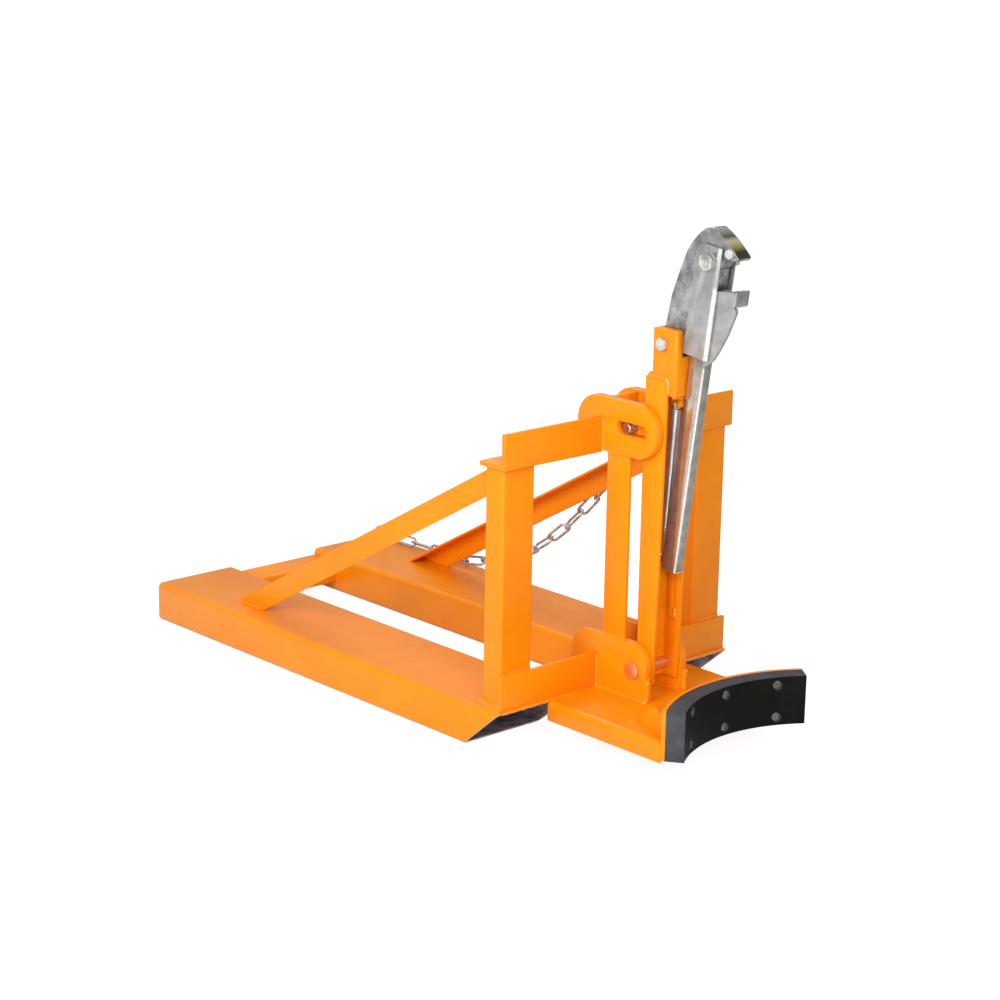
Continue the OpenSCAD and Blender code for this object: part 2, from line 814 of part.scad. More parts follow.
// Rib near one side of the jaw's front, which carries the lip
module jaw_rib() {
    rib_t = 7;
    color(zinc) jaw_frame() slab(rib_end - rib_t, rib_end) difference() {
        polygon(rib_outline);
        lip_blank();
    }
}

// The lip goes under the drum's rim
module jaw_lip() {
    lip_w = 35;
    color(zinc) jaw_frame() slab(-lip_w / 2, lip_w / 2) lip_outline();
}

module lip_outline() {
    lip_r = 6;
    difference() {
        lip_blank();
        translate([lip_front + lip_r, lip_top - lip_h + lip_r]) rotate(180) toe_corner(lip_r);
    }
}

lip_h = lip_top - web_top + 20;
module lip_blank() {
    lip_d = 19;
    slope = (lip_top - web_top) / (jaw_front - lip_front);
    translate([lip_front, lip_top - lip_h])
        polygon([[0, 0], [lip_d, 0], [lip_d, lip_h - slope * lip_d], [0, lip_h]]);
}

// Plate in the jaw's lower end that holds the lever
module jaw_foot() {
    color(zinc) jaw_frame() translate([0, 0, foot_z]) linear_extrude(height = foot_t)
        difference() {
            intersection() {
                jaw_outline(jaw_in, jaw_front + jaw_wall, jaw_bend - jaw_wall);
                translate([-jaw_in, jaw_front]) square([2 * jaw_in, jaw_d]);
            }
            translate([-lever_w / 2, lever_front]) square([lever_w, lever_d]);
        }
}

module jaw_bolt() {
    head_h = 12.5;
    nut_h = 16;
    color(zinc) jaw_frame() {
        cross_pin(jaw_bolt_r, -jaw_half - nut_h - 3, jaw_half);
        hex(jaw_bolt_af, -jaw_half - nut_h, -jaw_half);
        hex(jaw_bolt_af, jaw_half, jaw_half + head_h);
    }
}

module jaw_washers() {
    color(zinc) for (s = [-1, 1]) scale_x(s) jaw_frame()
        ring(jaw_bolt_r, jaw_bolt_r + 6, beak_half + end_play, jaw_in);
}

module lever() {
    color(zinc) jaw_frame() translate([-lever_w / 2, lever_front, -lever_below])
        cube([lever_w, lever_d, lever_below + lever_top]);
}

// Eye on the rear of the lever's foot, where the spring hooks in
eye_z = -lever_below + 14;
eye_y = lever_back + 8;
module lever_eye() {
    eye_r = spring_wire / 2 + 3.7;
    eye_t = 4;
    color(zinc) jaw_frame() slab(-eye_t / 2, eye_t / 2) difference() {
        union() {
            translate([eye_y, eye_z]) circle(r = eye_r);
            translate([lever_back, eye_z - eye_r]) square([eye_y - lever_back, 2 * eye_r]);
        }
        translate([eye_y, eye_z]) circle(d = spring_wire + 2.4);
    }
}

// The spring, from the tab down to the lever's eye
eye_at_y = jaw_y + eye_y * cos(jaw_lean) - eye_z * sin(jaw_lean);
eye_at_z = jaw_z + eye_y * sin(jaw_lean) + eye_z * cos(jaw_lean);
spring_lean = atan2(eye_at_y - tab_y, tab_z - eye_at_z);
spring_span = norm([eye_at_y - tab_y, tab_z - eye_at_z]);
coil_r = (spring_d - spring_wire) / 2;
loop_top = 5.5;
loop_low = 6;
hook_top = 2 * loop_top + 1;
stem_len = 47;
coil_len = spring_span - hook_top - stem_len - 2 * loop_low;
coil_pitch = coil_len / spring_turns;
steps = 8;
sides = 5;

// Point and sweep of the coil, which hangs down from the origin
function coil_ring(a) = [for (k = [0:sides - 1])
    let (b = 360 * k / sides, r = coil_r + spring_wire / 2 * cos(b))
    [r * cos(a), r * sin(a), spring_wire / 2 * sin(b) - hook_top - coil_pitch * a / 360]];

module coil() {
    rings = spring_turns * steps;
    points = [for (i = [0:rings]) each coil_ring(360 * i / steps)];
    skin = [for (i = [0:rings - 1], k = [0:sides - 1])
        let (j = (k + 1) % sides)
        [i * sides + k, i * sides + j, (i + 1) * sides + j, (i + 1) * sides + k]];
    ends = [[for (k = [sides - 1:-1:0]) k], [for (k = [0:sides - 1]) rings * sides + k]];
    polyhedron(points = points, faces = concat(skin, ends));
}

// A wire loop that goes through a hole along X
module hook(z, r) {
    translate([0, 0, z]) rotate([90, 0, 0]) rotate_extrude($fn = 32)
        translate([r, 0]) circle(d = spring_wire, $fn = 16);
}

module spring() {
    low_z = -hook_top - coil_len;
    stem_z = -spring_span + 2 * loop_low;
    color(zinc) stand() translate([0, tab_y, tab_z]) rotate([spring_lean, 0, 0]) {
        coil();
        hook(-loop_top, loop_top);
        translate([0, 0, -hook_top]) cross_bar(coil_r);
        translate([0, 0, low_z]) cross_bar(coil_r);
        translate([0, 0, stem_z]) cylinder(d = spring_wire, h = low_z - stem_z, $fn = 16);
        hook(-spring_span + loop_low, loop_low);
    }
}

// The coil's last turn bent across its middle
module cross_bar(r) {
    cross_pin(spring_wire / 2, -r, r);
}

pocket_left();
pocket_right();
rear_cross_tube();
post_left();
post_right();
lower_angle_left();
lower_angle_right();
upper_angle_left();
upper_angle_right();
brace_left();
brace_right();
lower_cheek_left();
lower_cheek_right();
upper_cheek_left();
upper_cheek_right();
upper_web();
tie_bar_left();
tie_bar_right();
saddle();
saddle_gussets();
front_plate();
rubber_pad();
pad_bolts();
pad_nuts();
mast_pivot_pin();
pivot_washers();
chain_lugs();
safety_chain();
mast_channel();
mast_liner();
stop_lug();
stop_pin();
head_tube();
spring_tab();
beak_bolt();
beak_spacers();
beak();
nose_stud();
jaw_channel();
jaw_rib();
jaw_lip();
jaw_foot();
jaw_bolt();
jaw_washers();
lever();
lever_eye();
spring();
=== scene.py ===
# %% [markdown]
# Forklift drum clamp
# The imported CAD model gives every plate, tube and bolt its place and its joint. This script
# dresses that frame: it rounds the edges of the plates, winds a real spring, lays the weld
# beads, and gives each piece its finish. It starts by loading the frame and measuring it.

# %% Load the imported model
import json
import math

import bpy
from mathutils import Matrix, Vector


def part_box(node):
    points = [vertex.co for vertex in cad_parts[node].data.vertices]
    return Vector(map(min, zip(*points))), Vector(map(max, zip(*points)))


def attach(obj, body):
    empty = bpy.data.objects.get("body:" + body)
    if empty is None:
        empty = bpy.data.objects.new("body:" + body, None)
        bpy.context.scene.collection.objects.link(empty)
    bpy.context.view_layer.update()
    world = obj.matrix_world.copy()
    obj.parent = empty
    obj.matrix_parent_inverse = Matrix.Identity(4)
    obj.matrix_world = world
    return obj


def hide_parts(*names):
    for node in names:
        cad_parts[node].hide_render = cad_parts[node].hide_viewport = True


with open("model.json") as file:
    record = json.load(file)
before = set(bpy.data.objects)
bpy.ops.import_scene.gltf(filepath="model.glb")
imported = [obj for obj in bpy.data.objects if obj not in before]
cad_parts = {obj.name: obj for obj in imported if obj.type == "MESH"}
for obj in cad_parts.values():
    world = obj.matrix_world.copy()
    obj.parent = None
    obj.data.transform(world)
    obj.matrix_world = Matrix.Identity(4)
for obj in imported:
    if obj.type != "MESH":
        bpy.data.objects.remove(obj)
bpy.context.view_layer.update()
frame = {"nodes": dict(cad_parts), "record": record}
NODES = frame["nodes"]
BODY_OF = {
    node: body
    for body, members in frame["record"]["behaviour"]["bodies"].items()
    for node in members
}
SLOT_OF = {row["node"]: row["material_slot"] for row in frame["record"]["subparts"]}
MM = 0.001

# %% [markdown]
# The camera stands where the photographer stood: in front of the clamp, to its left, and
# somewhat above it. Its place and its three directions come from solving the photograph as
# a perspective view of straight frame edges, so no shift of the lens is needed.

# %% Camera
CAMERA_PLACE = Vector((-3342.757, -3672.097, 1699.717)) * MM
LOOK = Vector((0.65337332, 0.71149694, -0.2586028))
RIGHT = Vector((0.73953745, -0.67289744, 0.01712883))
UP = Vector((0.16182605, 0.20243798, 0.96583187))
bpy.ops.object.camera_add()
camera = bpy.context.object
camera.name = "photo_camera"
axes = Matrix((RIGHT, UP, -LOOK)).transposed().to_4x4()
camera.matrix_world = Matrix.Translation(CAMERA_PLACE) @ axes
camera.data.sensor_width = 36
camera.data.lens = 90.93
camera.data.clip_end = 60
bpy.context.scene.camera = camera
print("camera at", tuple(round(v, 3) for v in camera.location))

# %% [markdown]
# A material in Blender is a network of nodes, and each node has sockets that hold a value or
# take a link. The floor and every finish need nodes with some of their sockets filled in, so
# one helper does that, and the links between the nodes are made where they are needed.

# %% Helper that adds a node
def add_node(tree, kind, values=None):
    node = tree.nodes.new("ShaderNode" + kind)
    for socket, value in (values or {}).items():
        node.inputs[socket].default_value = value
    return node


print("node helper ready")

# %% [markdown]
# The clamp was photographed on plain white. A wide floor does the same here. To the camera
# it is a bright sheet that still takes the clamp's shadow, and to the lamps it is an
# ordinary pale surface that throws soft light back up into the frame. Shiny metal mirrors
# the bright sheet too, but across the clamp's width its mirrored glow fades towards the
# right. Steel that faces that way then looks dark, as it does in the photograph.

# %% Floor
FLOOR_SIZE = 60
FLOOR_DEPTH = 0.5 * MM
CAMERA_GLOW = 0.88
FADE_START = -0.3
FADE_END = 0.5
FADED_SHARE = 0.12


def floor_material():
    material = bpy.data.materials.new("white_floor")
    material.use_nodes = True
    tree = material.node_tree
    tree.nodes.clear()
    output = add_node(tree, "OutputMaterial")
    pale = add_node(tree, "BsdfDiffuse", {"Color": (0.62, 0.62, 0.62, 1)})
    faint = add_node(tree, "BsdfDiffuse", {"Color": (0.30, 0.30, 0.30, 1)})
    glow = add_node(tree, "Emission", {"Strength": CAMERA_GLOW})
    path = add_node(tree, "LightPath")
    place = add_node(tree, "TexCoord")
    split = add_node(tree, "SeparateXYZ")
    fade = add_node(tree, "MapRange", {
        "From Min": FADE_START, "From Max": FADE_END, "To Min": 1.0, "To Max": FADED_SHARE})
    mirrored = add_node(tree, "Math")
    mirrored.operation = "MULTIPLY"
    seen = add_node(tree, "Math")
    seen.operation = "MAXIMUM"
    sheet = add_node(tree, "AddShader")
    choice = add_node(tree, "MixShader")
    tree.links.new(place.outputs["Object"], split.inputs[0])
    tree.links.new(split.outputs["X"], fade.inputs["Value"])
    tree.links.new(path.outputs["Is Glossy Ray"], mirrored.inputs[0])
    tree.links.new(fade.outputs["Result"], mirrored.inputs[1])
    tree.links.new(path.outputs["Is Camera Ray"], seen.inputs[0])
    tree.links.new(mirrored.outputs[0], seen.inputs[1])
    tree.links.new(faint.outputs[0], sheet.inputs[0])
    tree.links.new(glow.outputs[0], sheet.inputs[1])
    tree.links.new(seen.outputs[0], choice.inputs["Fac"])
    tree.links.new(pale.outputs[0], choice.inputs[1])
    tree.links.new(sheet.outputs[0], choice.inputs[2])
    tree.links.new(choice.outputs[0], output.inputs["Surface"])
    return material


bpy.ops.object.select_all(action="DESELECT")
bpy.ops.mesh.primitive_plane_add(size=FLOOR_SIZE, location=(0, 0, -FLOOR_DEPTH))
floor = bpy.context.object
floor.name = "floor"
floor.data.materials.append(floor_material())
print("floor of", FLOOR_SIZE, "metres")

# %% [markdown]
# A studio's walls and ceiling send a little light from every side. An even white world does
# that, at half strength, so that the shadows stay open. The Standard view transform shows
# colours as they are, which a plain product photograph needs.

# %% World
WORLD_STRENGTH = 0.5
world = bpy.data.worlds.new("studio")
bpy.context.scene.world = world
world.use_nodes = True
sky = world.node_tree.nodes["Background"]
sky.inputs["Color"].default_value = (1, 1, 1, 1)
sky.inputs["Strength"].default_value = WORLD_STRENGTH
bpy.context.scene.view_settings.view_transform = "Standard"
print("world ready")

# %% [markdown]
# Three soft lamps make the light of a studio. The key stands high on the camera's left, so
# the faces that look left are the brightest, as in the photograph. A weaker one stands
# near the camera, and a strip from behind draws light along the upper edges. All three are
# aimed at the middle of the clamp.

# %% Lamps
AIM = Vector((0, -0.1, 0.4))


def soft_lamp(name, place, size, power):
    bpy.ops.object.light_add(type="AREA", location=place)
    lamp = bpy.context.object
    lamp.name = name
    lamp.data.shape = "RECTANGLE"
    lamp.data.size = size[0]
    lamp.data.size_y = size[1]
    lamp.data.energy = power
    direction = AIM - Vector(place)
    lamp.rotation_euler = direction.to_track_quat("-Z", "Y").to_euler()


soft_lamp("key_lamp", (-4.2, -1.2, 2.6), (2.4, 2.4), 150)
soft_lamp("camera_lamp", (-2.2, -3.6, 2.0), (1.6, 1.6), 85)
soft_lamp("edge_lamp", (1.5, 2.6, 3.4), (3.0, 1.2), 60)
print("lamps ready")

# %% [markdown]
# Every finish starts from the same few parts: a shader, a noise pattern in the object's own
# coordinates, and a bump. Each helper below adds one of them and joins it up, so that a
# finish can be read as a short recipe. Most of a noise pattern lies between 0.3 and 0.7, so
# the helper that spreads it over a range of roughness starts from those two values.

# %% Helpers for finishes
NOISE_LOW = 0.3
NOISE_HIGH = 0.7


def new_finish(name):
    material = bpy.data.materials.new(name)
    material.use_nodes = True
    tree = material.node_tree
    shader = tree.nodes["Principled BSDF"]
    place = add_node(tree, "TexCoord").outputs["Object"]
    return material, tree, shader, place


def noise(tree, place, scale, detail=4.0, roughness=0.55, stretch=None):
    if stretch:
        mapping = add_node(tree, "Mapping", {"Scale": stretch})
        tree.links.new(place, mapping.inputs["Vector"])
        place = mapping.outputs[0]
    pattern = add_node(tree, "TexNoise", {
        "Scale": scale, "Detail": detail, "Roughness": roughness})
    tree.links.new(place, pattern.inputs["Vector"])
    return pattern.outputs["Fac"]


def ramp(tree, value, stops):
    node = add_node(tree, "ValToRGB")
    while len(node.color_ramp.elements) < len(stops):
        node.color_ramp.elements.new(0.5)
    for element, (position, colour) in zip(node.color_ramp.elements, stops):
        element.position = position
        element.color = (*colour, 1)
    tree.links.new(value, node.inputs["Fac"])
    return node.outputs["Color"]


def spread(tree, value, low, high):
    node = add_node(tree, "MapRange", {
        "From Min": NOISE_LOW, "From Max": NOISE_HIGH, "To Min": low, "To Max": high})
    tree.links.new(value, node.inputs["Value"])
    return node.outputs["Result"]


def bump(tree, shader, height, strength, distance):
    node = add_node(tree, "Bump", {"Strength": strength, "Distance": distance})
    tree.links.new(height, node.inputs["Height"])
    tree.links.new(node.outputs[0], shader.inputs["Normal"])


print("finish helpers ready")

# %% [markdown]
# The frame's orange is a sprayed coat with a satin gloss. Sprayed paint is never one flat
# colour: it clouds slightly where it is thicker, and its surface has the faint waves that
# painters call orange peel. A thin clear coat adds a faint second reflection. The weld beads
# get a glossier version of the same paint, because it runs smooth over their round backs.

# %% Orange paint
def orange_paint(name, gloss, roughness):
    material, tree, shader, place = new_finish(name)
    clouds = noise(tree, place, 7.0, 5.0)
    colour = ramp(tree, clouds, [
        (0.30, (0.83, 0.235, 0.001)),
        (0.52, (0.88, 0.260, 0.002)),
        (0.74, (0.92, 0.285, 0.004)),
    ])
    tree.links.new(colour, shader.inputs["Base Color"])
    grain = spread(tree, noise(tree, place, 35.0), roughness - 0.06, roughness + 0.06)
    tree.links.new(grain, shader.inputs["Roughness"])
    shader.inputs["Specular IOR Level"].default_value = gloss
    shader.inputs["Coat Weight"].default_value = 0.08
    shader.inputs["Coat Roughness"].default_value = 0.20
    bump(tree, shader, noise(tree, place, 260.0, 2.0), 0.10, 0.0006)
    return material


ORANGE = orange_paint("orange_paint", 0.20, 0.40)
BEAD_PAINT = orange_paint("painted_weld", 0.75, 0.22)
print("made", ORANGE.name, "and", BEAD_PAINT.name)

# %% [markdown]
# The beak, the jaw and the lever are zinc plated steel. Zinc on rolled steel is a cloudy
# grey with darker patches, and fine scratches run along each bar, so the noise that makes
# them is stretched upright. The beak's plate is more mottled than the rest, and the bends of
# the jaw's sheet get a lighter zinc that is a painted highlight.

# %% Zinc plated steel
UPRIGHT = (1, 1, 0.15)
ALL_WAYS = (1, 1, 1)


def zinc_plate(name, dark, light, roughness, stretch=UPRIGHT, metallic=0.85):
    material, tree, shader, place = new_finish(name)
    clouds = noise(tree, place, 42.0, 6.0, 0.66)
    tone = ramp(tree, clouds, [(0.36, dark), (0.64, light)])
    tree.links.new(tone, shader.inputs["Base Color"])
    shader.inputs["Metallic"].default_value = metallic
    scratches = noise(tree, place, 420.0, 3.0, 0.6, stretch)
    grain = spread(tree, scratches, roughness - 0.07, roughness + 0.09)
    tree.links.new(grain, shader.inputs["Roughness"])
    bump(tree, shader, scratches, 0.16, 0.0003)
    return material


ZINC = zinc_plate("zinc_steel", (0.35, 0.35, 0.355), (0.49, 0.49, 0.495), 0.36)
BEAK_ZINC = zinc_plate("mottled_zinc", (0.19, 0.19, 0.195), (0.50, 0.50, 0.505), 0.36)
# Painted highlight: a lighter zinc for the bends of the jaw's channel.
BEND_HIGHLIGHT_ZINC = zinc_plate("painted_bend_highlight", (0.62, 0.62, 0.62), (0.86, 0.86, 0.86), 0.34)
print("made", ZINC.name, BEAK_ZINC.name, BEND_HIGHLIGHT_ZINC.name)

# %% [markdown]
# Above the lip, the painted highlight on the bend of the jaw ends. A blend on the height
# does that: it starts a little below the lip's top and ends just above it. The blend goes in
# between the colour that the finish already has and its shader.

# %% Painted highlight of the jaw's bend ends above the lip
BLEND_BELOW = 8 * MM
BLEND_ABOVE = 4 * MM
MIX_FACTOR, MIX_FIRST, MIX_SECOND, MIX_RESULT = 0, 6, 7, 2


def end_highlight_above(material, height, dull):
    tree = material.node_tree
    shader = tree.nodes["Principled BSDF"]
    bright = shader.inputs["Base Color"].links[0].from_socket
    place = add_node(tree, "TexCoord")
    split = add_node(tree, "SeparateXYZ")
    share = add_node(tree, "MapRange", {
        "From Min": height - BLEND_BELOW, "From Max": height + BLEND_ABOVE})
    blend = add_node(tree, "Mix")
    blend.data_type = "RGBA"
    blend.inputs[MIX_SECOND].default_value = (*dull, 1)
    tree.links.new(place.outputs["Object"], split.inputs[0])
    tree.links.new(split.outputs["Z"], share.inputs["Value"])
    tree.links.new(share.outputs["Result"], blend.inputs[MIX_FACTOR])
    tree.links.new(bright, blend.inputs[MIX_FIRST])
    tree.links.new(blend.outputs[MIX_RESULT], shader.inputs["Base Color"])


LIP_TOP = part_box("jaw_lip")[1].z
# Above the lip's top the bend loses its painted highlight.
end_highlight_above(BEND_HIGHLIGHT_ZINC, LIP_TOP, (0.40, 0.40, 0.40))
print(BEND_HIGHLIGHT_ZINC.name, "is dull above", round(LIP_TOP, 3))

# %% [markdown]
# The other steel pieces differ in colour and gloss. Bolts are bright, apart from the pad's,
# which are dull. The lever is a smooth rolled bar. Its chamfered edge gets a white painted
# highlight, the warm tint of its colour is a painted reflection of the orange mast, and
# front faces get a darker, painted shade. The pockets' insides are bare steel with mill
# scale, which is less metallic. The spring is bright wire, the stop pin's ends are brown,
# and the mast's pin is coppery.

# %% Other bare metals
BOLT = zinc_plate("zinc_fasteners", (0.44, 0.43, 0.41), (0.74, 0.73, 0.70), 0.20, ALL_WAYS)
# The lever's warm tint is a painted reflection of the orange mast; its low roughness mirrors the
# mast as well.
LEVER = zinc_plate("rolled_bar_painted_reflection", (0.42, 0.38, 0.33), (0.58, 0.52, 0.45), 0.10, (1, 1, 0.05))
# Painted highlight: a near white zinc for the lever's chamfered edge.
CHAMFER_HIGHLIGHT = zinc_plate("painted_edge_highlight", (0.88, 0.88, 0.86), (0.96, 0.96, 0.94), 0.16)
# Painted shade: a darker zinc for the front faces of the lever, the lip and the channel.
SHADED_FRONT_ZINC = zinc_plate("painted_shade_front", (0.30, 0.30, 0.27), (0.46, 0.46, 0.42), 0.36)
DULL_BOLT = zinc_plate("dull_bolts", (0.10, 0.10, 0.09), (0.20, 0.20, 0.18), 0.50, ALL_WAYS)
MILL_STEEL = zinc_plate(
    "mill_steel", (0.16, 0.13, 0.15), (0.48, 0.42, 0.46), 0.42, (1, 0.2, 1), metallic=0.3)
WIRE_STEEL = zinc_plate("spring_wire", (0.62, 0.62, 0.62), (0.85, 0.85, 0.85), 0.22, ALL_WAYS)
PIN_STEEL = zinc_plate("pin_end", (0.34, 0.17, 0.10), (0.46, 0.25, 0.16), 0.26, ALL_WAYS)
COPPER = zinc_plate("coppery_pin", (0.84, 0.44, 0.20), (0.86, 0.48, 0.24), 0.30, ALL_WAYS)
OTHER_METALS = (
    BOLT, LEVER, CHAMFER_HIGHLIGHT, SHADED_FRONT_ZINC, DULL_BOLT, MILL_STEEL, WIRE_STEEL, PIN_STEEL, COPPER)
print("made", [metal.name for metal in OTHER_METALS])

# %% [markdown]
# The chain is dipped in molten zinc, which cools to mottled spangles. A Voronoi pattern has
# cells of even size and random shade, which is just how spangles look.

# %% Galvanised chain
def galvanised():
    material, tree, shader, place = new_finish("galvanised_chain")
    spangle = add_node(tree, "TexVoronoi", {"Scale": 210.0})
    tree.links.new(place, spangle.inputs["Vector"])
    tone = ramp(tree, spangle.outputs["Color"], [
        (0.15, (0.34, 0.34, 0.35)),
        (0.55, (0.54, 0.54, 0.55)),
        (0.9, (0.76, 0.76, 0.77)),
    ])
    tree.links.new(tone, shader.inputs["Base Color"])
    shader.inputs["Metallic"].default_value = 0.8
    tree.links.new(spread(tree, noise(tree, place, 90.0), 0.36, 0.55), shader.inputs["Roughness"])
    bump(tree, shader, noise(tree, place, 240.0, 3.0), 0.25, 0.0006)
    return material


CHAIN = galvanised()
print("made", CHAIN.name)

# %% [markdown]
# The crest of the beak is polished by use. Bands of colour along its height paint the
# reflections of that polish: bright at the top, straw coloured lower down, and dark between
# them and at the tip.

# %% Polished crest with painted reflections
def polished_crest_painted_reflections(top, reach):
    material, tree, shader, place = new_finish("polished_crest_painted_reflections")
    split = add_node(tree, "SeparateXYZ")
    along = add_node(tree, "MapRange", {"From Min": top - reach, "From Max": top})
    tree.links.new(place, split.inputs[0])
    tree.links.new(split.outputs["Z"], along.inputs["Value"])
    # The ramp along the height is painted reflection.
    tone = ramp(tree, along.outputs["Result"], [
        (0.00, (0.10, 0.09, 0.07)),
        (0.30, (0.07, 0.06, 0.03)),
        (0.50, (0.62, 0.54, 0.24)),
        (0.62, (0.80, 0.74, 0.48)),
        (0.74, (0.14, 0.14, 0.12)),
        (0.95, (0.55, 0.55, 0.53)),
    ])
    tree.links.new(tone, shader.inputs["Base Color"])
    shader.inputs["Metallic"].default_value = 0.9
    shader.inputs["Roughness"].default_value = 0.16
    bump(tree, shader, noise(tree, place, 300.0, 2.0), 0.15, 0.0003)
    return material


CREST_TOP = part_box("beak")[1].z
CREST = polished_crest_painted_reflections(CREST_TOP, 55 * MM)
print("made", CREST.name)

# %% [markdown]
# The pad is a thick block of black rubber. Rubber is rough and slightly dusty: its sides
# look grey where light grazes them, and it shows faint marks from the mould. Its hollow gets a
# near black copy of the rubber, which is painted shade.

# %% Rubber
def black_rubber(name, dark, light):
    material, tree, shader, place = new_finish(name)
    dust = noise(tree, place, 30.0, 6.0, 0.65)
    tone = ramp(tree, dust, [(0.3, dark), (0.75, light)])
    tree.links.new(tone, shader.inputs["Base Color"])
    tree.links.new(spread(tree, dust, 0.60, 0.80), shader.inputs["Roughness"])
    shader.inputs["Specular IOR Level"].default_value = 0.10
    bump(tree, shader, noise(tree, place, 500.0, 3.0), 0.2, 0.0004)
    return material


RUBBER = black_rubber("black_rubber", (0.045, 0.045, 0.052), (0.085, 0.085, 0.095))
# Painted shade: a near black copy of the rubber for the pad's hollow.
SHADED_HOLLOW_RUBBER = black_rubber("painted_shade_rubber", (0.002, 0.002, 0.0015), (0.007, 0.007, 0.006))
print("made", RUBBER.name, "and", SHADED_HOLLOW_RUBBER.name)

# %% [markdown]
# The record names a material slot for every node. Each slot has one main finish, and every
# node gets the finish of its slot before any piece is copied and worked on.

# %% Main finish of every node
FINISH = {
    "orange_paint": ORANGE,
    "zinc_steel": ZINC,
    "zinc_fasteners": BOLT,
    "galvanised_chain": CHAIN,
    "black_rubber": RUBBER,
}
for node, thing in NODES.items():
    thing.data.materials.clear()
    thing.data.materials.append(FINISH[SLOT_OF[node]])
print("finishes on", len(NODES), "nodes")

# %% [markdown]
# No real plate has a mathematically sharp edge. Cutting, grinding and paint leave a small
# radius that catches the light, and that thin bright line is much of what makes painted
# steel look real. Each piece is copied, its loose triangles are joined, its flat faces are
# made whole, and its edges are rounded with a bevel. Edges that turn by less than the
# bevel's angle belong to a curved face and stay as they are.

# %% Helpers that round a node's edges
JOIN_DISTANCE = 0.02 * MM
FLAT_ANGLE = math.radians(0.5)
BEVEL_ANGLE = math.radians(38)
SMOOTH_ANGLE = math.radians(30)


def only(thing):
    bpy.ops.object.select_all(action="DESELECT")
    thing.hide_viewport = False
    thing.select_set(True)
    bpy.context.view_layer.objects.active = thing


def join_faces(thing):
    only(thing)
    bpy.ops.object.mode_set(mode="EDIT")
    bpy.ops.mesh.select_all(action="SELECT")
    bpy.ops.mesh.remove_doubles(threshold=JOIN_DISTANCE)
    bpy.ops.mesh.dissolve_limited(angle_limit=FLAT_ANGLE)
    bpy.ops.object.mode_set(mode="OBJECT")


def round_edges(thing, width, segments=2):
    only(thing)
    bevel = thing.modifiers.new("edge_radius", "BEVEL")
    bevel.width = width
    bevel.segments = segments
    bevel.limit_method = "ANGLE"
    bevel.angle_limit = BEVEL_ANGLE
    bevel.use_clamp_overlap = True
    bpy.ops.object.modifier_apply(modifier=bevel.name)
    bpy.ops.object.shade_smooth_by_angle(angle=SMOOTH_ANGLE)


def finish_piece(thing, name, body, slot_name, *nodes):
    thing.name = name
    if not thing.data.materials:
        thing.data.materials.append(FINISH[slot_name])
    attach(thing, body)
    if nodes:
        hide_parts(*nodes)


def rounded_copy(node, width, segments=2):
    copy = bpy.data.objects.new(node + "_rounded", NODES[node].data.copy())
    bpy.context.scene.collection.objects.link(copy)
    join_faces(copy)
    round_edges(copy, width, segments)
    finish_piece(copy, node + "_rounded", BODY_OF[node], SLOT_OF[node], node)
    return copy


print("edge helpers ready")

# %% [markdown]
# The radius of an edge tells how a piece was made: sheet and plate are cut and painted, the
# lever has a broad chamfer, and turned or threaded pieces are only broken at the edge. The
# radii are given in millimetres. The washers, the spacers and the chain's round links have no
# edge worth rounding. The jaw's rib stays as the CAD has it too, because the large flat face
# of its bent outline shades badly after a bevel.

# %% Round the plates, tubes and bolts
EDGE_RADIUS = {
    "pocket_left": 1.0, "pocket_right": 1.0, "rear_cross_tube": 0.8,
    "post_left": 0.8, "post_right": 0.8,
    "lower_angle_left": 1.2, "lower_angle_right": 1.2,
    "upper_angle_left": 1.2, "upper_angle_right": 1.2,
    "brace_left": 0.8, "brace_right": 0.8,
    "lower_cheek_left": 1.4, "lower_cheek_right": 1.4,
    "upper_cheek_left": 1.4, "upper_cheek_right": 1.4,
    "upper_web": 1.0, "tie_bar_left": 1.2, "tie_bar_right": 1.2,
    "saddle": 1.0, "saddle_gussets": 1.2, "front_plate": 1.2, "rubber_pad": 2.0,
    "chain_lugs": 1.0, "mast_channel": 1.2, "mast_liner": 1.0, "stop_lug": 1.0,
    "head_tube": 1.0, "spring_tab": 0.8,
    "jaw_channel": 0.8, "jaw_lip": 1.0, "jaw_foot": 0.6,
    "lever": 3.0, "lever_eye": 0.5, "mast_pivot_pin": 0.8, "beak_bolt": 0.7,
    "jaw_bolt": 0.7, "pad_bolts": 0.4, "pad_nuts": 0.4, "nose_stud": 0.8,
}
rounded = {node: rounded_copy(node, width * MM) for node, width in EDGE_RADIUS.items()}
print("rounded", len(rounded), "pieces")

# %% [markdown]
# The beak is cut from thick plate. Its upper edge is ground bright from the crest down to
# the tip, where it slides over the rims of drums, so the faces there get the polished
# finish and the rest of the beak stays a mottled grey.

# %% Beak with a polished crest
POLISHED_BAND = 62 * MM
POLISHED_SHARE = 0.52


def on_crest(face):
    across = abs(face.normal.x) < 0.5
    high_up = face.center.z > high.z - POLISHED_BAND
    in_front = face.center.y < high.y - (high.y - low.y) * POLISHED_SHARE
    return across and high_up and in_front and face.normal.z > 0.2


def face_finish(piece, material, wanted):
    piece.data.materials.append(material)
    slot_index = len(piece.data.materials) - 1
    count = 0
    for face in piece.data.polygons:
        if wanted(face):
            face.material_index = slot_index
            count += 1
    print(piece.name, "has", count, "faces of", material.name)


low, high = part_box("beak")
beak = rounded_copy("beak", 1.6 * MM, 3)
beak.data.materials[0] = BEAK_ZINC
face_finish(beak, CREST, on_crest)

